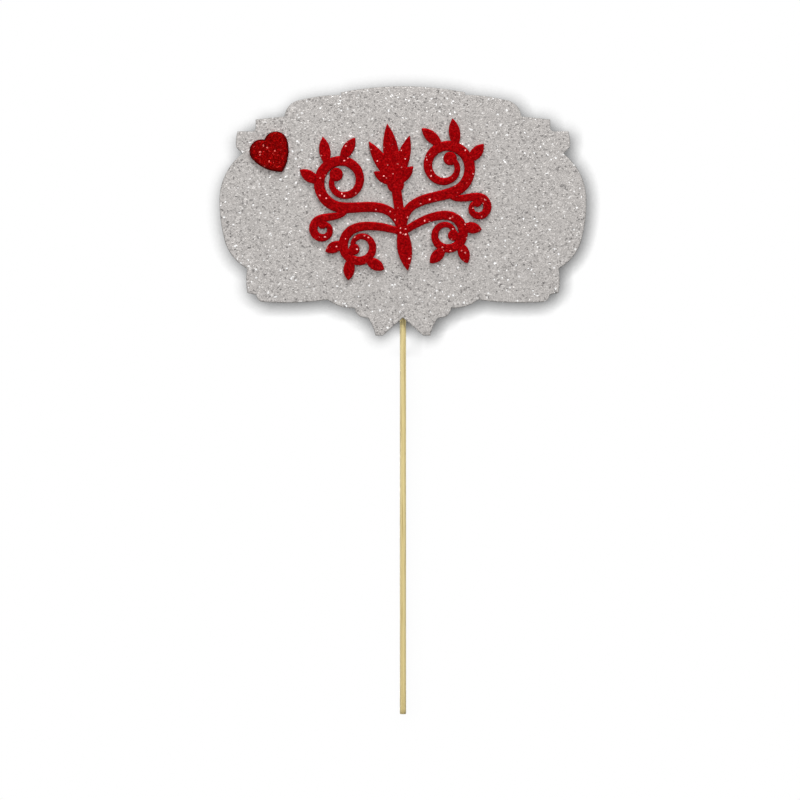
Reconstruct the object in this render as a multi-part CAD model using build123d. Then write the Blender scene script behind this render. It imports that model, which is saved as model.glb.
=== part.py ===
from build123d import *
import os
from math import cos, pi, radians, sin

# Hand-held sign: a glitter-foam plaque on a bamboo skewer, with two smaller cut-outs on its front.
# Millimetres. +Z runs up the skewer, the front faces -Y, and the origin is the centre of the
# skewer's lower end. Flat outlines are drawn as seen from the front, with the plaque's V-notch at 0, 0.

# Skewer
SKEWER_DIAMETER = 3.0
SKEWER_LENGTH = 250.0
SKEWER_OVERLAP = 63.0
SKEWER_END_CHAMFER = 0.2
SKEWER_POINT_LENGTH = 12.0
SKEWER_POINT_DIAMETER = 0.8

# Foam sheet, its glitter coat, and the adhesive under the cut-outs
FOAM_THICKNESS = 2.0
GLITTER_THICKNESS = 0.25
ADHESIVE_THICKNESS = 0.15
ADHESIVE_INSET = 0.4

# Hot-melt dabs that hold the skewer to the plaque's back, from the V-notch to the skewer's point
GLUE_BED = 0.3
GLUE_COVER = 0.6
GLUE_SIDE = 3.0
GLUE_ROUND = 1.5
GLUE_GAP = 4.0
GLUE_COUNT = 3

# Plaque: overall size, and the V-notch in the tail that the skewer passes
PLAQUE_WIDTH = 172.8
PLAQUE_HEIGHT = 117.4
NOTCH_HALF_WIDTH = 9.5
NOTCH_DEPTH = 8.4

# Plaque edge, right half, from the V-notch round to the crown. Each stretch is its run outwards,
# its rise, and its bow: how far an arc bulges out of the plaque, or 0 for a straight cut.
# The hem's run and the lobe side's rise take up what the overall size leaves.
TAIL_TIP = (3.4, 0, 0)
TAIL_FLANK = (3.4, 8.0, -0.4)
COLLAR_LEDGE = (3.8, 0.8, 0)
COLLAR = (2.7, 4.1, 0.6)
PETAL = (12.6, 3.9, 1.2)
HEM_RISE = -0.9
HEM_BOW = 0.9
HEEL = (2.3, 3.2, 0.6)
HEEL_LEDGE = (4.2, 1.0, 0)
JAW = (0.1, 11.4, 0.5)
LOBE_UNDERSIDE = (10.9, 14.5, 2.0)
LOBE_SIDE_RUN = 2.1
LOBE_SIDE_BOW = 0.6
LOBE_SHOULDER = (-10.7, 21.6, 2.8)
EAR_UNDERCUT = (2.9, 3.1, 0)
EAR_SIDE = (-0.7, 7.5, 0.4)
EAR_TOP = (-6.7, -0.1, 0)
CUSP_HOLLOW = (-1.8, 1.8, -0.5)
CUSP_SIDE = (0, 3.8, 0)
SHELF = (-13.6, 1.5, 0)
TEMPLE = (-8.1, 7.8, 2.1)
BROW = (-18.4, 2.3, 0.6)
CROWN_STEP = (0, 1.2, 0)
CROWN_RISE = 2.9

# Scroll cut-out: its place from the middle of the plaque, and its tilt
SCROLL_SHIFT_RIGHT = -2.6
SCROLL_SHIFT_UP = 2.2
SCROLL_TILT = 8.0

# Scroll cut-out: its stem and volutes, measured out from its own middle line and up from its centre
STEM_FOOT = -17.0
STEM_TOP = 6.0
STEM_WIDTH = 4.6
STROKE_SWELL = 1.8
UPPER_OUT = 24.5
UPPER_UP = 11.0
UPPER_RADIUS = 12.6
UPPER_EYE = 4.4
UPPER_TURNS = 1.4
UPPER_START_WIDTH = 4.0
UPPER_END_WIDTH = 2.4
UPPER_BALL = 6.4
LOWER_OUT = 20.5
LOWER_UP = -20.5
LOWER_RADIUS = 9.0
LOWER_EYE = 3.2
LOWER_TURNS = 1.3
LOWER_START_WIDTH = 3.2
LOWER_END_WIDTH = 2.0
LOWER_BALL = 5.2
TENDRIL_OUT = 36.8
TENDRIL_UP = -10.2
TENDRIL_RADIUS = 5.2
TENDRIL_EYE = 2.5
TENDRIL_TURNS = 1.0
TENDRIL_START_WIDTH = 2.4
TENDRIL_END_WIDTH = 2.0
TENDRIL_BALL = 4.4

# Scroll cut-out: its leaves
PALMETTE_BOSS = 8.0
PALMETTE_ANGLES = (90, 66, 38)
PALMETTE_LENGTHS = (29.0, 24.0, 12.0)
PALMETTE_WIDTHS = (7.4, 6.2, 5.0)
UPPER_LEAF_ANGLES = (4, 52, 92)
UPPER_LEAF_LENGTHS = (11.0, 14.0, 13.0)
LOWER_LEAF_ANGLES = (20, -40, -105)
LOWER_LEAF_LENGTHS = (9.5, 10.5, 10.0)
LEAF_WIDTH = 5.4
LEAF_SPREAD = 38.0
PENDANT_LENGTH = 18.0
PENDANT_WIDTH = 7.0

# Heart cut-out, level with a point above the scroll's centre and clear of the scroll's upper volute
HEART_WIDTH = 19.0
HEART_HEIGHT = 18.9
HEART_CLEFT_DEPTH = 1.55
HEART_LOBE_END = 12.0
HEART_FLANK_BOW = 1.65
HEART_SHIFT_UP = 20.1
HEART_GAP = 12.2
HEART_TILT = 29.0

# Strokes enter a volute at its foot, and curves are drawn through this many points
VOLUTE_ENTRY_ANGLE = -90.0
SPIRAL_POINTS_PER_TURN = 12
BAND_POINTS = 36

SKEWER_RADIUS = SKEWER_DIAMETER / 2
PLAQUE_NOTCH_HEIGHT = SKEWER_LENGTH - SKEWER_OVERLAP
PLAQUE_BACK = -(SKEWER_RADIUS + GLUE_BED)
PLAQUE_FRONT = PLAQUE_BACK - FOAM_THICKNESS - GLITTER_THICKNESS
CUT_OUT_BACK = PLAQUE_FRONT - ADHESIVE_THICKNESS
SCROLL_UP = (PLAQUE_HEIGHT - NOTCH_DEPTH) / 2 + SCROLL_SHIFT_UP


def sheet(outline, back, thickness):
    """Cut an outline from flat sheet whose rear face lies at the given depth."""
    plane = Plane(origin=(0, back, PLAQUE_NOTCH_HEIGHT), x_dir=(1, 0, 0), z_dir=(0, -1, 0))
    return extrude(plane * outline, amount=thickness)


def plaque_outline():
    """Walk the right half of the edge, mirror it, and close it with the crown's arc."""
    notch_side = (NOTCH_HALF_WIDTH, -NOTCH_DEPTH, 0)
    tail = (notch_side, TAIL_TIP, TAIL_FLANK, COLLAR_LEDGE, COLLAR, PETAL)
    heel = (HEEL, HEEL_LEDGE, JAW, LOBE_UNDERSIDE)
    ear = (LOBE_SHOULDER, EAR_UNDERCUT, EAR_SIDE, EAR_TOP, CUSP_HOLLOW, CUSP_SIDE)
    head = (SHELF, TEMPLE, BROW, CROWN_STEP)
    hem_run = PLAQUE_WIDTH / 2 - LOBE_SIDE_RUN - sum(run for run, rise, bow in tail + heel)
    lobe_rise = PLAQUE_HEIGHT - NOTCH_DEPTH - CROWN_RISE - HEM_RISE
    lobe_rise -= sum(rise for run, rise, bow in tail + heel + ear + head)
    hem = (hem_run, HEM_RISE, HEM_BOW)
    lobe_side = (LOBE_SIDE_RUN, lobe_rise, LOBE_SIDE_BOW)
    here = Vector(0, 0)
    right = []
    for run, rise, bow in (*tail, hem, *heel, lobe_side, *ear, *head):
        there = here + Vector(run, rise)
        right.append(SagittaArc(here, there, -bow) if bow else Line(here, there))
        here = there
    left = [mirror(edge, about=Plane.YZ) for edge in right]
    crown = ThreePointArc(here, (0, here.Y + CROWN_RISE), (-here.X, here.Y))
    return make_face(right + [crown] + left)


def spiral(centre, radius, eye, start, turns):
    """Points on a spiral that closes evenly from a radius to its eye; negative turns run clockwise."""
    count = round(SPIRAL_POINTS_PER_TURN * abs(turns))
    points = []
    for step in range(count + 1):
        share = step / count
        angle = radians(start + 360 * turns * share)
        reach = radius + (eye - radius) * share
        points.append(centre + Vector(cos(angle), sin(angle)) * reach)
    return points


def band(line, start_width, end_width, swell):
    """A flat band along a curve that tapers from end to end and swells in the middle."""
    left = []
    right = []
    for step in range(BAND_POINTS + 1):
        share = step / BAND_POINTS
        along = line % share
        half = (start_width + (end_width - start_width) * share + swell * sin(pi * share)) / 2
        across = Vector(-along.Y, along.X) * half
        left.append(line @ share + across)
        right.append(line @ share - across)
    sides = [Spline(*left), Spline(*right)]
    ends = [Line(left[0], right[0]), Line(left[-1], right[-1])]
    return make_face(sides + ends)


def leaf(root, angle, length, width):
    """A leaf pointed at both ends, growing from its root at an angle."""
    tip = root + Vector(cos(radians(angle)), sin(radians(angle))) * length
    return make_face([SagittaArc(root, tip, width / 2), SagittaArc(tip, root, width / 2)])


def ball(centre, diameter):
    return Pos(centre.X, centre.Y) * Circle(diameter / 2)


def volute(root, centre, radius, eye, turns, widths, ball_diameter, leaves):
    """A stroke from its root into a spiral with a ball in its eye and leaves on its outer turn."""
    way = 1 if turns > 0 else -1
    start = VOLUTE_ENTRY_ANGLE * way
    curl = spiral(centre, radius, eye, start, turns)
    shape = band(Spline(root, *curl), *widths, STROKE_SWELL) + ball(curl[-1], ball_diameter)
    for angle, length, width in leaves:
        reach = radius + (eye - radius) * (angle - start) / (360 * turns)
        outwards = Vector(cos(radians(angle)), sin(radians(angle)))
        shape += leaf(centre + outwards * reach, angle + LEAF_SPREAD * way, length, width)
    return shape


def scroll_outline(inset):
    """One welded flourish: mirrored volutes and leaves on a stem, drawn narrower by the inset."""
    slim = 2 * inset
    foot = Vector(0, STEM_FOOT)
    top = Vector(0, STEM_TOP)
    upper_centre = Vector(UPPER_OUT, UPPER_UP)
    upper_widths = (UPPER_START_WIDTH - slim, UPPER_END_WIDTH - slim)
    upper_leaves = [(angle, length, LEAF_WIDTH - slim)
                    for angle, length in zip(UPPER_LEAF_ANGLES, UPPER_LEAF_LENGTHS)]
    lower_widths = (LOWER_START_WIDTH - slim, LOWER_END_WIDTH - slim)
    lower_leaves = [(angle, length, LEAF_WIDTH - slim)
                    for angle, length in zip(LOWER_LEAF_ANGLES, LOWER_LEAF_LENGTHS)]
    tendril_root = upper_centre - Vector(0, UPPER_RADIUS)
    tendril_widths = (TENDRIL_START_WIDTH - slim, TENDRIL_END_WIDTH - slim)

    side = volute(foot, upper_centre, UPPER_RADIUS, UPPER_EYE, UPPER_TURNS,
                  upper_widths, UPPER_BALL - slim, upper_leaves)
    side += volute(foot, Vector(LOWER_OUT, LOWER_UP), LOWER_RADIUS, LOWER_EYE, -LOWER_TURNS,
                   lower_widths, LOWER_BALL - slim, lower_leaves)
    side += volute(tendril_root, Vector(TENDRIL_OUT, TENDRIL_UP), TENDRIL_RADIUS, TENDRIL_EYE,
                   -TENDRIL_TURNS, tendril_widths, TENDRIL_BALL - slim, [])
    for angle, length, width in zip(PALMETTE_ANGLES, PALMETTE_LENGTHS, PALMETTE_WIDTHS):
        side += leaf(top, angle, length, width - slim)

    stem = band(Line(foot, top), STEM_WIDTH - slim, STEM_WIDTH - slim, 0)
    stem += ball(top, PALMETTE_BOSS - slim)
    pendant_root = foot + Vector(0, STEM_WIDTH)
    stem += leaf(pendant_root, -90, STEM_WIDTH + PENDANT_LENGTH, PENDANT_WIDTH - slim)
    whole = stem + side + mirror(side, about=Plane.YZ)
    return Pos(SCROLL_SHIFT_RIGHT, SCROLL_UP) * Rot(0, 0, SCROLL_TILT) * whole


def heart_outline():
    """Two round lobes and two bowed flanks that meet in a tip."""
    lobe_radius = HEART_CLEFT_DEPTH + HEART_WIDTH / 2 - (HEART_CLEFT_DEPTH * HEART_WIDTH) ** 0.5
    lobe_centre = Vector(HEART_WIDTH / 2 - lobe_radius, HEART_HEIGHT / 2 - lobe_radius)
    turn = radians(HEART_LOBE_END)
    cleft = Vector(0, HEART_HEIGHT / 2 - HEART_CLEFT_DEPTH)
    crest = lobe_centre + Vector(0, lobe_radius)
    cheek = lobe_centre + Vector(cos(turn), -sin(turn)) * lobe_radius
    tip = Vector(0, -HEART_HEIGHT / 2)
    half = [ThreePointArc(cleft, crest, cheek), SagittaArc(cheek, tip, HEART_FLANK_BOW)]
    heart = make_face(half + [mirror(edge, about=Plane.YZ) for edge in half])
    heart_right = SCROLL_SHIFT_RIGHT - UPPER_OUT - UPPER_RADIUS - HEART_GAP - HEART_WIDTH / 2
    return Pos(heart_right, SCROLL_UP + HEART_SHIFT_UP) * Rot(0, 0, HEART_TILT) * heart


def skewer():
    """A round bamboo stick, blunt below and pointed at its hidden upper end."""
    profile = Polyline(
        (0, 0, 0),
        (SKEWER_RADIUS - SKEWER_END_CHAMFER, 0, 0),
        (SKEWER_RADIUS, 0, SKEWER_END_CHAMFER),
        (SKEWER_RADIUS, 0, SKEWER_LENGTH - SKEWER_POINT_LENGTH),
        (SKEWER_POINT_DIAMETER / 2, 0, SKEWER_LENGTH),
        (0, 0, SKEWER_LENGTH),
        close=True,
    )
    return revolve(make_face(profile), axis=Axis.Z)


def stick_glue(stick):
    """Rounded dabs over the skewer, evenly spaced along its round stretch behind the plaque."""
    left = Vector(-SKEWER_RADIUS - GLUE_SIDE, PLAQUE_BACK)
    right = Vector(SKEWER_RADIUS + GLUE_SIDE, PLAQUE_BACK)
    crest = SagittaArc(left, right, GLUE_COVER + SKEWER_RADIUS - PLAQUE_BACK)
    section = make_face([Line(left, right), crest])
    pitch = (SKEWER_OVERLAP - SKEWER_POINT_LENGTH - GLUE_GAP) / GLUE_COUNT
    dab = extrude(section, amount=pitch - GLUE_GAP)
    rims = dab.edges().filter_by(GeomType.CIRCLE)
    dab = fillet(rims, GLUE_ROUND)
    dabs = []
    for index in range(GLUE_COUNT):
        height = PLAQUE_NOTCH_HEIGHT + GLUE_GAP + pitch * index
        dabs.append(Pos(0, 0, height) * dab - stick)
    return Compound(children=dabs)


plaque = plaque_outline()
scroll = scroll_outline(0)
heart = heart_outline()
stick = skewer()

parts = {
    "plaque_foam": sheet(plaque, PLAQUE_BACK, FOAM_THICKNESS),
    "plaque_glitter": sheet(plaque, PLAQUE_BACK - FOAM_THICKNESS, GLITTER_THICKNESS),
    "scroll_adhesive": sheet(scroll_outline(ADHESIVE_INSET), PLAQUE_FRONT, ADHESIVE_THICKNESS),
    "scroll_foam": sheet(scroll, CUT_OUT_BACK, FOAM_THICKNESS),
    "scroll_glitter": sheet(scroll, CUT_OUT_BACK - FOAM_THICKNESS, GLITTER_THICKNESS),
    "heart_adhesive": sheet(offset(heart, -ADHESIVE_INSET), PLAQUE_FRONT, ADHESIVE_THICKNESS),
    "heart_foam": sheet(heart, CUT_OUT_BACK, FOAM_THICKNESS),
    "heart_glitter": sheet(heart, CUT_OUT_BACK - FOAM_THICKNESS, GLITTER_THICKNESS),
    "skewer": stick,
    "stick_glue": stick_glue(stick),
}

os.makedirs("parts", exist_ok=True)
for node, shape in parts.items():
    export_step(shape, f"parts/{node}.step")
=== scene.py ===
import math
import random

import bmesh
import bpy
from mathutils import Matrix, Vector, noise
from mathutils.bvhtree import BVHTree


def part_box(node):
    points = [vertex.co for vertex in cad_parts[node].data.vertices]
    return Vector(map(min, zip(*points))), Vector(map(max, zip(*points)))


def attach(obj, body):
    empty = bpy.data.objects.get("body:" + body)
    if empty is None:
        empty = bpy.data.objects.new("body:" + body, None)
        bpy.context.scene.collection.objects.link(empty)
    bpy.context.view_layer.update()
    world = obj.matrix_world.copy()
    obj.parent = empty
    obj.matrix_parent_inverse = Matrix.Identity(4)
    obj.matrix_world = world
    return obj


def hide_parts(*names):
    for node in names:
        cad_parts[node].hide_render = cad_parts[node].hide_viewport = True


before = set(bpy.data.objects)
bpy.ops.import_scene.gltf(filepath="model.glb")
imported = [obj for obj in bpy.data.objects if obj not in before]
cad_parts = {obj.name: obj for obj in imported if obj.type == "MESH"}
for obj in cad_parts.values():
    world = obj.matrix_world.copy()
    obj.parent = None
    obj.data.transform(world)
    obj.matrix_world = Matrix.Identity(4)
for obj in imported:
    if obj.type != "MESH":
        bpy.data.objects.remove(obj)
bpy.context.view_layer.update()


# The plaque's sheet
# White closed-cell EVA craft foam, 2 mm thick, die-cut to a bracket outline in one stroke.
# The glitter coat is fused to its front; its rear is bare foam, with the stick glued to it.

MM = 0.001
PLAQUE_ROLL = 0.2 * MM
JOIN_WITHIN = 0.0005 * MM
FOAM_CELLS = 2100
FOAM_CLOUDS = 90
FOAM_SCORES = (2400, 160, 2400)


def merged_copy(node):
    """A node's solid as a bmesh, its loose triangles joined."""
    solid = bmesh.new()
    solid.from_mesh(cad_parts[node].data)
    bmesh.ops.remove_doubles(solid, verts=solid.verts, dist=JOIN_WITHIN)
    return solid


def new_object(name, solid):
    """An object in the scene from a bmesh, which is used up."""
    mesh = bpy.data.meshes.new(name)
    solid.to_mesh(mesh)
    solid.free()
    made = bpy.data.objects.new(name, mesh)
    bpy.context.scene.collection.objects.link(made)
    return made


def finish_piece(name, solid, finish, node):
    """Turn a bmesh into a piece that stands for a node and rides with the sign."""
    piece = new_object(name, solid)
    piece.data.materials.append(finish)
    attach(piece, "root")
    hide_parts(node)


def new_finish(name):
    """A material with its node tree and its main shader."""
    finish = bpy.data.materials.new(name)
    finish.use_nodes = True
    return finish, finish.node_tree, finish.node_tree.nodes["Principled BSDF"]


def add_node(tree, kind, inputs=None, **settings):
    """Add a shader node, set its properties, and set or link its inputs."""
    node = tree.nodes.new(kind)
    for key, value in settings.items():
        setattr(node, key, value)
    for key, value in (inputs or {}).items():
        if isinstance(value, bpy.types.NodeSocket):
            tree.links.new(value, node.inputs[key])
        else:
            node.inputs[key].default_value = value
    return node


def stretched(tree, scale):
    """Object coordinates stretched by a scale for each axis."""
    place = add_node(tree, "ShaderNodeTexCoord").outputs["Object"]
    return add_node(tree, "ShaderNodeMapping", {"Vector": place, "Scale": scale}).outputs["Vector"]


def ramp(tree, factor, stops):
    """A colour ramp over a factor, from (place, colour) stops."""
    node = add_node(tree, "ShaderNodeValToRGB", {"Fac": factor})
    elements = node.color_ramp.elements
    while len(elements) < len(stops):
        elements.new(1)
    for element, (place, colour) in zip(elements, stops):
        element.position = place
        element.color = (*colour, 1)
    return node.outputs["Color"]


def foam_finish(name, pale, deep, scatter):
    """EVA foam: a fine closed-cell skin, faint clouding, and a wall that the cut scored."""
    finish, tree, shader = new_finish(name)
    cells = add_node(
        tree,
        "ShaderNodeTexVoronoi",
        {"Vector": stretched(tree, (1, 1, 1)), "Scale": FOAM_CELLS, "Randomness": 1},
    ).outputs["Distance"]
    cloud = add_node(
        tree,
        "ShaderNodeTexNoise",
        {
            "Vector": stretched(tree, (1, 1, 1)),
            "Scale": FOAM_CLOUDS,
            "Detail": 7,
            "Roughness": 0.75,
        },
    ).outputs["Fac"]
    score = add_node(
        tree,
        "ShaderNodeTexNoise",
        {"Vector": stretched(tree, FOAM_SCORES), "Scale": 1, "Detail": 2},
    ).outputs["Fac"]
    tone = add_node(
        tree, "ShaderNodeMath", {0: cloud, 1: 0.5, 2: score}, operation="MULTIPLY_ADD"
    ).outputs[0]
    tree.links.new(ramp(tree, tone, [(0.5, deep), (0.85, pale)]), shader.inputs["Base Color"])
    pores = add_node(
        tree, "ShaderNodeBump", {"Height": cells, "Strength": 0.5, "Distance": 0.12 * MM}
    ).outputs["Normal"]
    skin = add_node(
        tree,
        "ShaderNodeBump",
        {"Height": score, "Strength": 0.25, "Distance": 0.15 * MM, "Normal": pores},
    ).outputs["Normal"]
    tree.links.new(skin, shader.inputs["Normal"])
    rough = add_node(
        tree, "ShaderNodeMapRange", {"Value": cloud, "To Min": 0.65, "To Max": 0.9}
    ).outputs["Result"]
    tree.links.new(rough, shader.inputs["Roughness"])
    shader.inputs["Subsurface Weight"].default_value = scatter
    shader.inputs["Subsurface Radius"].default_value = (1, 0.9, 0.8)
    shader.inputs["Subsurface Scale"].default_value = 0.6 * MM
    shader.inputs["Specular IOR Level"].default_value = 0.2
    return finish


def foam_sheet(name, node, roll, finish):
    """A node's foam, lowered at the front by as much as its coat rolls over at the rim."""
    low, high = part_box(node)
    thinner = 1 - roll / (high.y - low.y)
    to_rear = Matrix.Translation((0, -high.y, 0))
    sheet = merged_copy(node)
    bmesh.ops.scale(sheet, verts=sheet.verts, vec=(1, thinner, 1), space=to_rear)
    finish_piece(name, sheet, finish, node)


white_foam = foam_finish(
    "white_eva_foam", pale=(0.8, 0.79, 0.765), deep=(0.72, 0.71, 0.68), scatter=0.2
)
foam_sheet("plaque_sheet", "plaque_foam", PLAQUE_ROLL, white_foam)


# The plaque's glitter coat
# Silver-white polyester flakes in a clear binder, spread on the foam before it was cut.
# The flakes lie at all angles, so the coat is a bed of small facets, rolled over at the cut rim.

PLAQUE_FLAKE = 0.46 * MM
PLAQUE_RELIEF = 0.09 * MM
PLAQUE_RIM = 0.5 * MM
FLAKE_NUDGE = 0.36
NET_MARGIN = 4
OVERSHOOT = 1 * MM
FRONT_SLACK = 0.01 * MM
FLAT_WITHIN = math.radians(0.2)
PAINTED_RIM_FALL = 1.5


def flake_net(node, spacing, relief, seed):
    """A slab over a node whose front is a net of facets, each corner nudged at random."""
    dice = random.Random(seed)
    low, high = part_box(node)
    wide = high.x - low.x + NET_MARGIN * spacing
    tall = high.z - low.z + NET_MARGIN * spacing
    middle = (low + high) / 2
    place = Matrix.Translation((middle.x, low.y, middle.z)) @ Matrix.Rotation(math.pi / 2, 4, "X")
    net = bmesh.new()
    bmesh.ops.create_grid(
        net,
        x_segments=round(wide / spacing),
        y_segments=round(tall / spacing),
        size=0.5,
        matrix=place @ Matrix.Diagonal((wide, tall, 1, 1)),
    )
    aside = spacing * FLAKE_NUDGE
    for corner in net.verts:
        corner.co.x += dice.uniform(-aside, aside)
        corner.co.z += dice.uniform(-aside, aside)
        corner.co.y += dice.uniform(0, relief)
    bmesh.ops.triangulate(net, faces=net.faces, quad_method="BEAUTY")
    rim = [edge for edge in net.edges if edge.is_boundary]
    skirt = bmesh.ops.extrude_edge_only(net, edges=rim)["geom"]
    for corner in skirt:
        if isinstance(corner, bmesh.types.BMVert):
            corner.co.y = high.y + OVERSHOOT
    bmesh.ops.holes_fill(net, edges=[edge for edge in net.edges if edge.is_boundary])
    bmesh.ops.recalc_face_normals(net, faces=net.faces)
    return net


def side_of(solid, node, front):
    """The corners on the front or the rear side of a flat piece."""
    low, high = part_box(node)
    middle = (low.y + high.y) / 2
    return [corner for corner in solid.verts if (corner.co.y < middle) == front]


def glitter_coat(node, spacing, relief, roll, rim, seed):
    """The net of flakes, trimmed to a node's outline and rolled over along the rim."""
    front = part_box(node)[0].y
    outline = merged_copy(node)
    bmesh.ops.dissolve_limit(
        outline, angle_limit=FLAT_WITHIN, verts=outline.verts, edges=outline.edges
    )
    bmesh.ops.translate(outline, verts=side_of(outline, node, False), vec=(0, roll, 0))
    bmesh.ops.translate(outline, verts=side_of(outline, node, True), vec=(0, -OVERSHOOT, 0))
    walls = outline.copy()
    caps = [face for face in walls.faces if abs(face.normal.y) > 0.5]
    bmesh.ops.delete(walls, geom=caps, context="FACES")
    wall_tree = BVHTree.FromBMesh(walls)
    walls.free()
    net = new_object("net", flake_net(node, spacing, relief, seed))
    die = new_object("die", outline)
    cut = net.modifiers.new("cut", "BOOLEAN")
    cut.operation = "INTERSECT"
    cut.solver = "MANIFOLD"
    cut.object = die
    cut_net = net.evaluated_get(bpy.context.evaluated_depsgraph_get())
    coat = bmesh.new()
    coat.from_mesh(cut_net.to_mesh())
    cut_net.to_mesh_clear()
    bpy.data.objects.remove(net)
    bpy.data.objects.remove(die)
    rim_share = coat.verts.layers.float.new("rim")
    for corner in coat.verts:
        near = wall_tree.find_nearest(corner.co, rim)[3]
        if near is not None:
            share = max(0, 1 - near / rim)
            corner[rim_share] = share
            if corner.co.y < front + relief + FRONT_SLACK:
                corner.co.y += (front + relief / 2 - corner.co.y) * share
                corner.co.y += roll * (1 - math.sqrt(1 - share * share))
    return coat


def multiplied(tree, one, other):
    """Two colours, multiplied."""
    return add_node(
        tree,
        "ShaderNodeMix",
        {"Factor": 1.0, "A": one, "B": other},
        data_type="RGBA",
        blend_type="MULTIPLY",
    ).outputs["Result"]


def flake_finish(name, fine, coarse, tones_with_painted_glints, grain, edge, tilt, metal, rough, rim_rough):
    """Foil flakes in a clear binder: coarse ones set the tone, with painted glints among them,
    fine ones the grain, tilt and polish. The pressed rim loses its polish and is painted with a
    rim colour: painted shade on some finishes, a painted highlight on others."""
    finish, tree, shader = new_finish(name)
    place = stretched(tree, (1, 1, 1))
    flake = add_node(tree, "ShaderNodeTexVoronoi", {"Vector": place, "Scale": 1 / coarse})
    speck = add_node(tree, "ShaderNodeTexVoronoi", {"Vector": place, "Scale": 1 / fine})
    draw = add_node(tree, "ShaderNodeSeparateColor", {"Color": flake.outputs["Color"]})
    toss = add_node(tree, "ShaderNodeSeparateColor", {"Color": speck.outputs["Color"]})
    tone = ramp(tree, draw.outputs["Red"], tones_with_painted_glints)
    mixed = multiplied(tree, tone, ramp(tree, toss.outputs["Red"], grain))
    rim = add_node(tree, "ShaderNodeAttribute", attribute_name="rim").outputs["Fac"]
    # Painted light along the rim: the rim colour is mixed over the flakes, more of it nearer the
    # cut.
    painted_rim_mask = add_node(
        tree, "ShaderNodeMath", {0: rim, 1: PAINTED_RIM_FALL}, operation="POWER"
    ).outputs[0]
    rim_painted = add_node(
        tree, "ShaderNodeMix", {"Factor": painted_rim_mask, "A": mixed, "B": (*edge, 1)}, data_type="RGBA"
    )
    tree.links.new(rim_painted.outputs["Result"], shader.inputs["Base Color"])
    lean = add_node(
        tree,
        "ShaderNodeVectorMath",
        {0: speck.outputs["Color"], 1: (0.5, 0.5, 0.5)},
        operation="SUBTRACT",
    ).outputs["Vector"]
    facing = add_node(tree, "ShaderNodeNewGeometry").outputs["Normal"]
    leaning = add_node(
        tree,
        "ShaderNodeVectorMath",
        {0: lean, 1: (tilt, tilt, tilt), 2: facing},
        operation="MULTIPLY_ADD",
    ).outputs["Vector"]
    level = add_node(
        tree, "ShaderNodeVectorMath", {0: leaning}, operation="NORMALIZE"
    ).outputs["Vector"]
    tree.links.new(level, shader.inputs["Normal"])
    polish = add_node(
        tree,
        "ShaderNodeMapRange",
        {"Value": toss.outputs["Green"], "To Min": rough[0], "To Max": rough[1]},
    ).outputs["Result"]
    dulled = add_node(
        tree, "ShaderNodeMapRange", {"Value": rim, "To Min": polish, "To Max": rim_rough}
    ).outputs["Result"]
    tree.links.new(dulled, shader.inputs["Roughness"])
    shader.inputs["Metallic"].default_value = metal
    shader.inputs["Specular IOR Level"].default_value = 0.2
    return finish


silver_flakes = flake_finish(
    "silver_flakes",
    fine=0.4 * MM,
    coarse=0.72 * MM,
    # The darkest stops paint flakes that turn from the light, a painted shade; the top stops are
    # painted glints.
    tones_with_painted_glints=[
        (0, (0.201, 0.19, 0.185)),
        (0.07, (0.337, 0.319, 0.308)),
        (0.18, (0.448, 0.425, 0.409)),
        (0.85, (0.527, 0.5, 0.481)),
        (0.965, (0.596, 0.57, 0.55)),
        (0.985, (0.748, 0.72, 0.7)),
        (0.991, (1, 1, 1)),
    ],
    grain=[(0, (0.75, 0.75, 0.75)), (0.5, (0.94, 0.94, 0.94)), (1, (1, 1, 1))],
    # Painted shade along the rim, darker than the flakes, so that the rim does not light up.
    edge=(0.264, 0.254, 0.244),
    tilt=0.22,
    metal=0.4,
    rough=(0.24, 0.5),
    rim_rough=0.9,
)
plaque_coat = glitter_coat(
    "plaque_glitter", PLAQUE_FLAKE, PLAQUE_RELIEF, PLAQUE_ROLL, PLAQUE_RIM, seed=11
)
finish_piece("plaque_coat", plaque_coat, silver_flakes, "plaque_glitter")


# The scroll and its glue film
# A flourish die-cut from one sheet of red glitter foam and stuck on the plaque's front.
# Brushed craft glue makes the film; the foam's cut wall is bare red, with the coat rolled over it.

CUT_OUT_ROLL = 0.5 * MM
CUT_OUT_RIM = 0.9 * MM
SCROLL_FLAKE = 0.3 * MM
SCROLL_RELIEF = 0.06 * MM
FILM_STREAKS = (700, 700, 180)


def film_finish():
    """Dried craft glue: milky, a little streaky, half clear."""
    finish, tree, shader = new_finish("dried_glue")
    streak = add_node(
        tree,
        "ShaderNodeTexNoise",
        {"Vector": stretched(tree, FILM_STREAKS), "Scale": 1, "Detail": 3},
    ).outputs["Fac"]
    tree.links.new(
        ramp(tree, streak, [(0.3, (0.7, 0.68, 0.62)), (0.7, (0.86, 0.85, 0.8))]),
        shader.inputs["Base Color"],
    )
    ripple = add_node(
        tree, "ShaderNodeBump", {"Height": streak, "Strength": 0.4, "Distance": 0.1 * MM}
    )
    tree.links.new(ripple.outputs["Normal"], shader.inputs["Normal"])
    shader.inputs["Roughness"].default_value = 0.35
    shader.inputs["Transmission Weight"].default_value = 0.4
    return finish


dried_glue = film_finish()
for film in ("scroll_adhesive", "heart_adhesive"):
    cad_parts[film].data.materials[0] = dried_glue

red_foam = foam_finish(
    "red_eva_foam", pale=(0.3, 0.008, 0.01), deep=(0.17, 0.004, 0.005), scatter=0.05
)
foam_sheet("scroll_sheet", "scroll_foam", CUT_OUT_ROLL, red_foam)

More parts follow.
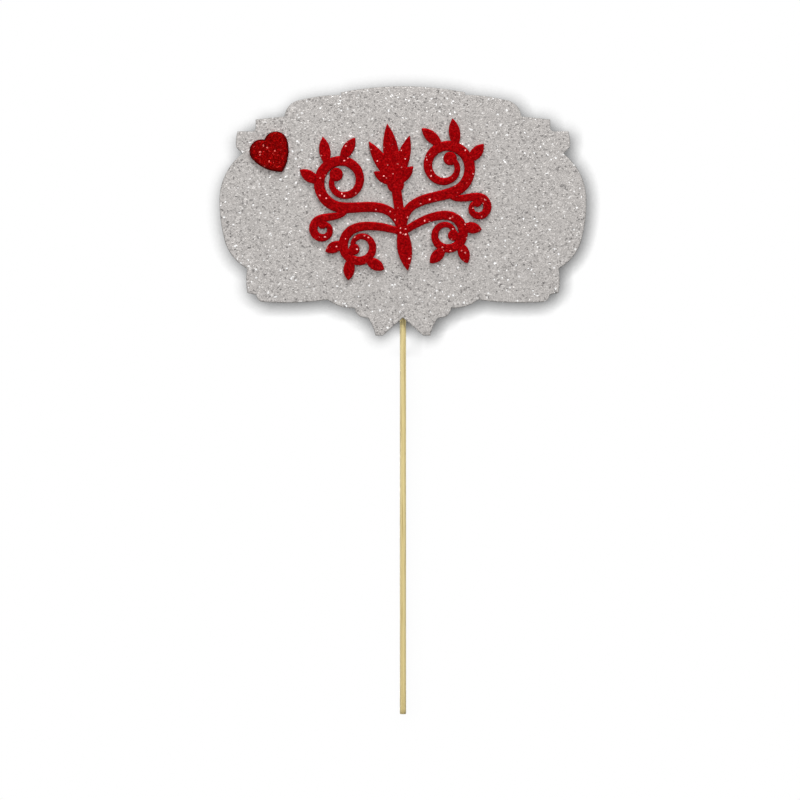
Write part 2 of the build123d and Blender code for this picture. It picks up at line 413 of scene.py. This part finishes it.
scroll_flakes = flake_finish(
    "red_flakes",
    fine=0.3 * MM,
    coarse=0.6 * MM,
    tones_with_painted_glints=[
        # The top stop paints pale glints among the red flakes.
        (0, (0.136, 0.001, 0.002)),
        (0.3, (0.203, 0.001, 0.002)),
        (0.7, (0.256, 0.001, 0.002)),
        (0.989, (0.326, 0.005, 0.006)),
        (0.995, (0.9, 0.42, 0.4)),
    ],
    grain=[(0, (0.7, 0.7, 0.7)), (1, (1, 1, 1))],
    # Painted highlight along the rim, lighter than most flakes, as if the rolled edge caught
    # light.
    edge=(0.284, 0.002, 0.004),
    tilt=0.35,
    metal=1.0,
    rough=(0.35, 0.6),
    rim_rough=0.6,
)
scroll_coat = glitter_coat(
    "scroll_glitter", SCROLL_FLAKE, SCROLL_RELIEF, CUT_OUT_ROLL, CUT_OUT_RIM, seed=12
)
finish_piece("scroll_coat", scroll_coat, scroll_flakes, "scroll_glitter")


# The heart
# A small heart punched from a coarser red glitter foam and stuck on askew by hand.
# The punch squeezes its rim, so the coat turns down further there than on the scroll.

HEART_FLAKE = 0.34 * MM
HEART_RELIEF = 0.13 * MM
HEART_RIM = 1.6 * MM

foam_sheet("heart_sheet", "heart_foam", CUT_OUT_ROLL, red_foam)

heart_flakes = flake_finish(
    "deep_red_flakes",
    fine=0.36 * MM,
    coarse=0.7 * MM,
    tones_with_painted_glints=[
        # The top stops paint pinkish glints among the red flakes.
        (0, (0.105, 0.001, 0.001)),
        (0.3, (0.175, 0.001, 0.001)),
        (0.93, (0.214, 0.002, 0.002)),
        (0.985, (0.286, 0.013, 0.011)),
        (0.996, (0.72, 0.16, 0.136)),
    ],
    grain=[(0, (0.6, 0.6, 0.6)), (1, (1, 1, 1))],
    # Painted shade along the rim: a dark outline, as if the cut edge lay in shade.
    edge=(0.025, 0.0005, 0.0005),
    tilt=0.5,
    metal=1.0,
    rough=(0.28, 0.5),
    rim_rough=0.5,
)
heart_coat = glitter_coat(
    "heart_glitter", HEART_FLAKE, HEART_RELIEF, CUT_OUT_ROLL, HEART_RIM, seed=13
)
finish_piece("heart_coat", heart_coat, heart_flakes, "heart_glitter")


# The stick
# A stock bamboo skewer, 3 mm thick, drawn round through cutters and sharpened at its upper end.
# Its fibres run its whole length and leave fine flutes; the lower end is sawn off square.

STICK_SIDES = 56
STICK_RINGS = 100
STICK_POINT_RINGS = 8
STICK_FLUTE = 0.05 * MM
STICK_TIP_RADIUS = 0.4 * MM
STICK_POINT = 12 * MM
STICK_CHAMFER = 0.2 * MM
FLUTE_ROUND = 5
FLUTE_ALONG = 9
FLUTE_LAND = 0.4
WANDER_ROUND = 0.8
WANDER_ALONG = 40
WANDER_START = 7
WANDER_SHARE = 0.6
BAMBOO_FIBRES = (1500, 1500, 9)
BAMBOO_STRANDS = (4200, 4200, 26)

stick_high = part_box("skewer")[1]
stick_radius = stick_high.x
stick_length = stick_high.z


def stick_ring_heights():
    """Heights of the rings: close at the sawn end and along the point, even between."""
    shank = stick_length - STICK_POINT
    run = shank - STICK_CHAMFER
    even = [STICK_CHAMFER + run * step / STICK_RINGS for step in range(STICK_RINGS)]
    steps = range(STICK_POINT_RINGS + 1)
    point = [shank + STICK_POINT * step / STICK_POINT_RINGS for step in steps]
    return [0] + even + point


def stick_reach(height):
    """The stick's radius at a height."""
    left = stick_length - height
    if left < STICK_POINT:
        return STICK_TIP_RADIUS + (stick_radius - STICK_TIP_RADIUS) * left / STICK_POINT
    if height < STICK_CHAMFER:
        return stick_radius - STICK_CHAMFER + height
    return stick_radius


def stick_solid():
    """Stack rings up the stick, close its ends, then press the fibres' flutes into it."""
    stick = bmesh.new()
    turns = [math.tau * side / STICK_SIDES for side in range(STICK_SIDES)]
    rings = []
    for height in stick_ring_heights():
        reach = stick_reach(height)
        corners = [(-reach * math.sin(turn), reach * math.cos(turn), height) for turn in turns]
        rings.append([stick.verts.new(corner) for corner in corners])
    for lower, upper in zip(rings, rings[1:]):
        for side in range(STICK_SIDES):
            stick.faces.new((lower[side - 1], lower[side], upper[side], upper[side - 1]))
    stick.faces.new(rings[0])
    stick.faces.new(rings[-1])
    for corner in stick.verts:
        across = Vector((corner.co.x, corner.co.y, 0))
        turn = across.normalized()
        height = corner.co.z
        flute = noise.noise(
            Vector((turn.x * FLUTE_ROUND, turn.y * FLUTE_ROUND, height * FLUTE_ALONG))
        )
        along = height * WANDER_ALONG + WANDER_START
        wander = noise.noise(Vector((turn.x * WANDER_ROUND, turn.y * WANDER_ROUND, along)))
        depth = STICK_FLUTE * (flute - FLUTE_LAND + WANDER_SHARE * (wander - FLUTE_LAND))
        corner.co += turn * min(0, depth) * across.length / stick_radius
    bmesh.ops.recalc_face_normals(stick, faces=stick.faces)
    for face in stick.faces:
        face.smooth = len(face.verts) == 4
    return stick


def bamboo_finish():
    """Pale bamboo: long fibres in straw tones, thin darker strands, and a dry sheen."""
    finish, tree, shader = new_finish("bamboo")
    fibre = add_node(
        tree,
        "ShaderNodeTexNoise",
        {"Vector": stretched(tree, BAMBOO_FIBRES), "Scale": 1, "Detail": 4, "Roughness": 0.6},
    ).outputs["Fac"]
    strand = add_node(
        tree,
        "ShaderNodeTexNoise",
        {"Vector": stretched(tree, BAMBOO_STRANDS), "Scale": 1, "Detail": 2},
    ).outputs["Fac"]
    tone = ramp(
        tree,
        fibre,
        [
            (0.25, (0.559, 0.414, 0.157)),
            (0.45, (0.783, 0.637, 0.286)),
            (0.7, (0.92, 0.795, 0.414)),
        ],
    )
    dark = ramp(tree, strand, [(0.32, (0.5, 0.42, 0.32)), (0.43, (1, 1, 1))])
    tree.links.new(multiplied(tree, tone, dark), shader.inputs["Base Color"])
    grain = add_node(
        tree, "ShaderNodeBump", {"Height": strand, "Strength": 0.35, "Distance": 0.06 * MM}
    )
    tree.links.new(grain.outputs["Normal"], shader.inputs["Normal"])
    shader.inputs["Roughness"].default_value = 0.55
    shader.inputs["Specular IOR Level"].default_value = 0.3
    return finish


finish_piece("stick", stick_solid(), bamboo_finish(), "skewer")


# The hot-melt dabs
# Three dabs of milky hot-melt glue, pressed from a gun over the stick and onto the foam's rear.
# Each sags into a low mound with an uneven foot before it sets.

GLUE_SINK = 0.05 * MM
GLUE_CLOUDS = (420, 420, 420)
DAB_SEEDS = (31, 38, 45)
DAB_GAP = 4 * MM
DAB_FINENESS = 6
DAB_FILL = 0.95
DAB_BLUNT = 2.6
DAB_WAIST = 0.22
DAB_LUMPS = 0.12
DAB_LUMP_SCALE = 1.1
DAB_PEAK = 0.08
DAB_PEAK_SPREAD = 0.06


def glue_dab(dabs, low, high, seed):
    """One dab: a smooth mound that spreads at its foot, with the peak that the gun pulls up."""
    dice = random.Random(seed)
    reach = (high - low) / 2
    centre = Vector(((low.x + high.x) / 2, low.y, (low.z + high.z) / 2))
    peak = Vector((dice.uniform(-0.3, 0.3), 0.85, dice.uniform(0.1, 0.5))).normalized()
    bead = bmesh.ops.create_icosphere(dabs, subdivisions=DAB_FINENESS, radius=1)["verts"]
    for corner in bead:
        way = corner.co.copy()
        lump = noise.noise(way * DAB_LUMP_SCALE + Vector((seed, 0, 0)))
        waist = 1 - DAB_WAIST * math.sin(math.pi * max(0, way.y))
        pull = DAB_PEAK * math.exp(-(way - peak).length_squared / DAB_PEAK_SPREAD)
        blunt = sum(abs(part) ** DAB_BLUNT for part in way) ** (1 / DAB_BLUNT)
        way *= (DAB_FILL + DAB_LUMPS * lump) / blunt
        corner.co = centre + Vector(
            (way.x * reach.x * waist, (way.y + pull * peak.y) * 2 * reach.y, way.z * reach.z)
        )


def glue_dabs():
    """The three dabs, evenly spaced along the stick, cut off flat where they meet the foam."""
    low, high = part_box("stick_glue")
    pitch = (high.z - low.z + DAB_GAP) / len(DAB_SEEDS)
    dabs = bmesh.new()
    for index, seed in enumerate(DAB_SEEDS):
        foot = low.z + pitch * index
        start = Vector((low.x, low.y, foot))
        end = Vector((high.x, high.y, foot + pitch - DAB_GAP))
        glue_dab(dabs, start, end, seed)
    bmesh.ops.bisect_plane(
        dabs,
        geom=dabs.verts[:] + dabs.edges[:] + dabs.faces[:],
        plane_co=(0, low.y - GLUE_SINK, 0),
        plane_no=(0, 1, 0),
        clear_inner=True,
    )
    bmesh.ops.holes_fill(dabs, edges=[edge for edge in dabs.edges if edge.is_boundary])
    bmesh.ops.recalc_face_normals(dabs, faces=dabs.faces)
    for face in dabs.faces:
        face.smooth = len(face.verts) < 5
    return dabs


def hot_melt_finish():
    """Hot-melt glue: milky and half clear, glossy, with faint waves from the gun."""
    finish, tree, shader = new_finish("hot_melt")
    cloud = add_node(
        tree,
        "ShaderNodeTexNoise",
        {"Vector": stretched(tree, GLUE_CLOUDS), "Scale": 1, "Detail": 3},
    ).outputs["Fac"]
    tree.links.new(
        ramp(tree, cloud, [(0.3, (0.88, 0.86, 0.78)), (0.7, (0.95, 0.94, 0.9))]),
        shader.inputs["Base Color"],
    )
    wave = add_node(
        tree, "ShaderNodeBump", {"Height": cloud, "Strength": 0.3, "Distance": 0.3 * MM}
    )
    tree.links.new(wave.outputs["Normal"], shader.inputs["Normal"])
    shader.inputs["Roughness"].default_value = 0.22
    shader.inputs["IOR"].default_value = 1.48
    shader.inputs["Transmission Weight"].default_value = 0.4
    return finish


finish_piece("glue_dabs", glue_dabs(), hot_melt_finish(), "stick_glue")


# The white card and the floor
# A white card hangs close behind the sign and glows white, with a painted soft shadow on it.
# A pale floor lies below and catches its real shadow. Neither throws light back on the sign.

CARD_DEPTH = 2.6 * MM
FLOOR_DROP = 45 * MM
STAGE_SIZE = 8.0
FLOOR_LIT = 0.45
FLOOR_WHITE = 1.1
SHADE_REACH = 8.5 * MM
SHADE_LEAN = (-0.5, 0, 0.6)
SHADE_FROM = 168 * MM
SHADE_FULL = 178 * MM
SHADE_POWER = 2.8
SHADE_POWER_BELOW = 0.06
NOTCH_MIDDLE = (0, CARD_DEPTH, 175 * MM)
NOTCH_CLEAR = 3 * MM
NOTCH_REACH = 11.5 * MM
NOTCH_POWER = 0.15
PAINTED_SHEEN_IOR = 1.3


def front_only(tree, front):
    """Show a shader on a sheet's front and nothing from its rear."""
    behind = add_node(tree, "ShaderNodeNewGeometry").outputs["Backfacing"]
    clear = add_node(tree, "ShaderNodeBsdfTransparent").outputs["BSDF"]
    sheet = add_node(tree, "ShaderNodeMixShader", {0: behind, 1: front, 2: clear})
    tree.links.new(sheet.outputs["Shader"], tree.nodes["Material Output"].inputs["Surface"])


def card_finish():
    """White card that glows white, with a painted shadow where the sign is close before it."""
    finish, tree, shader = new_finish("white_card")
    tree.nodes.remove(shader)
    facing = add_node(
        tree,
        "ShaderNodeVectorMath",
        {0: add_node(tree, "ShaderNodeNewGeometry").outputs["Normal"], 1: SHADE_LEAN},
        operation="ADD",
    ).outputs["Vector"]
    towards = add_node(
        tree, "ShaderNodeVectorMath", {0: facing}, operation="NORMALIZE"
    ).outputs["Vector"]
    # Painted shadow: ambient occlusion from the sign, leaned up and to the left, dims the glow.
    painted_shade = add_node(
        tree, "ShaderNodeAmbientOcclusion", {"Distance": SHADE_REACH, "Normal": towards}, samples=8
    ).outputs["AO"]
    place = add_node(tree, "ShaderNodeTexCoord").outputs["Object"]
    height = add_node(tree, "ShaderNodeSeparateXYZ", {"Vector": place}).outputs["Z"]
    # The painted shadow thins beside the stick and fades out below the plaque.
    from_notch = add_node(
        tree, "ShaderNodeVectorMath", {0: place, 1: NOTCH_MIDDLE}, operation="DISTANCE"
    ).outputs["Value"]
    full = add_node(
        tree,
        "ShaderNodeMapRange",
        {
            "Value": from_notch,
            "From Min": NOTCH_CLEAR,
            "From Max": NOTCH_REACH,
            "To Min": NOTCH_POWER,
            "To Max": SHADE_POWER,
        },
    ).outputs["Result"]
    depth = add_node(
        tree,
        "ShaderNodeMapRange",
        {
            "Value": height,
            "From Min": SHADE_FROM,
            "From Max": SHADE_FULL,
            "To Min": SHADE_POWER_BELOW,
            "To Max": full,
        },
    ).outputs["Result"]
    level = add_node(tree, "ShaderNodeMath", {0: painted_shade, 1: depth}, operation="POWER").outputs[0]
    # A painted sheen lifts the glow towards white at grazing angles.
    painted_sheen = add_node(tree, "ShaderNodeFresnel", {"IOR": PAINTED_SHEEN_IOR}).outputs["Fac"]
    glow_with_painted_shade = add_node(
        tree, "ShaderNodeMapRange", {"Value": painted_sheen, "To Min": level, "To Max": 1}
    ).outputs["Result"]
    front_only(tree, add_node(tree, "ShaderNodeEmission", {"Strength": glow_with_painted_shade}).outputs["Emission"])
    return finish


def floor_finish():
    """Matte white board under the sign, plain white further off."""
    finish, tree, shader = new_finish("white_floor")
    shader.inputs["Base Color"].default_value = (0.88, 0.88, 0.88, 1)
    shader.inputs["Roughness"].default_value = 1
    shader.inputs["Specular IOR Level"].default_value = 0
    place = add_node(tree, "ShaderNodeTexCoord").outputs["Object"]
    away = add_node(tree, "ShaderNodeVectorMath", {0: place}, operation="LENGTH").outputs["Value"]
    far = add_node(
        tree,
        "ShaderNodeMapRange",
        {"Value": away, "From Min": FLOOR_LIT, "From Max": FLOOR_WHITE},
        interpolation_type="SMOOTHSTEP",
    ).outputs["Result"]
    white = add_node(tree, "ShaderNodeEmission").outputs["Emission"]
    front_only(
        tree,
        add_node(
            tree, "ShaderNodeMixShader", {0: far, 1: shader.outputs["BSDF"], 2: white}
        ).outputs["Shader"],
    )
    return finish


def stage_sheet(name, place, finish):
    """A large flat sheet that only the camera sees."""
    sheet = bmesh.new()
    bmesh.ops.create_grid(sheet, x_segments=1, y_segments=1, size=STAGE_SIZE / 2, matrix=place)
    piece = new_object(name, sheet)
    piece.data.materials.append(finish)
    piece.visible_diffuse = False
    piece.visible_glossy = False
    piece.visible_transmission = False
    piece.visible_shadow = False


upright = Matrix.Rotation(math.pi / 2, 4, "X")
card_place = Matrix.Translation((0, CARD_DEPTH, STAGE_SIZE / 2 - FLOOR_DROP)) @ upright
stage_sheet("card", card_place, card_finish())
stage_sheet("floor", Matrix.Translation((0, 0, -FLOOR_DROP)), floor_finish())


# The light
# Soft studio light: a wide key in front, one high up that shades under each raised edge, a softer
# one from the left, a small bare lamp for the glints, one for the rear, and an even pale room.

ROOM_LIGHT = 0.22
LAMP_AIM = (0, 0, 0.2)


def lamp(name, place, size, power):
    """A square lamp that looks at the plaque."""
    data = bpy.data.lights.new(name, "AREA")
    data.size = size
    data.energy = power
    bulb = bpy.data.objects.new(name, data)
    bpy.context.scene.collection.objects.link(bulb)
    aim = Vector(LAMP_AIM) - Vector(place)
    bulb.location = place
    bulb.rotation_euler = aim.to_track_quat("-Z", "Y").to_euler()


lamp("key", (-0.1, -1.62, 0.2), size=1.9, power=3.4)
lamp("top", (0.375, -1.47, 2.24), size=1.05, power=61)
lamp("side", (-1.4, -0.3, 0.45), size=0.7, power=4.8)
lamp("glint", (-0.45, -1.35, 0.95), size=0.08, power=1.4)
lamp("rear", (-0.5, 1.5, 0.4), size=1.3, power=22)

room = bpy.data.worlds.new("room")
room.use_nodes = True
bpy.context.scene.world = room
tree = room.node_tree
path = add_node(tree, "ShaderNodeLightPath")
seen = add_node(
    tree,
    "ShaderNodeMath",
    {0: path.outputs["Is Camera Ray"], 1: path.outputs["Is Glossy Ray"]},
    operation="MAXIMUM",
)
clear_to = add_node(
    tree,
    "ShaderNodeMath",
    {0: seen.outputs[0], 1: path.outputs["Is Transmission Ray"]},
    operation="MAXIMUM",
)
level = add_node(
    tree,
    "ShaderNodeMapRange",
    {"Value": clear_to.outputs[0], "To Min": ROOM_LIGHT, "To Max": 1.0},
)
tree.nodes["Background"].inputs["Color"].default_value = (1, 1, 1, 1)
tree.links.new(level.outputs["Result"], tree.nodes["Background"].inputs["Strength"])


# The camera
# It looks straight at the sign, level, from two metres, with the whole stick in the frame.

CAMERA_AWAY = 2.0
FRAME_WIDTH = 377.6 * MM
FRAME_MIDDLE = (-1.4 * MM, 148.2 * MM)

view = bpy.data.cameras.new("camera")
view.sensor_width = 36
view.lens = view.sensor_width * CAMERA_AWAY / FRAME_WIDTH
camera = bpy.data.objects.new("camera", view)
camera.location = (FRAME_MIDDLE[0], -CAMERA_AWAY, FRAME_MIDDLE[1])
camera.rotation_euler = (math.pi / 2, 0, 0)
bpy.context.scene.collection.objects.link(camera)
bpy.context.scene.camera = camera
bpy.context.scene.view_settings.view_transform = "Standard"
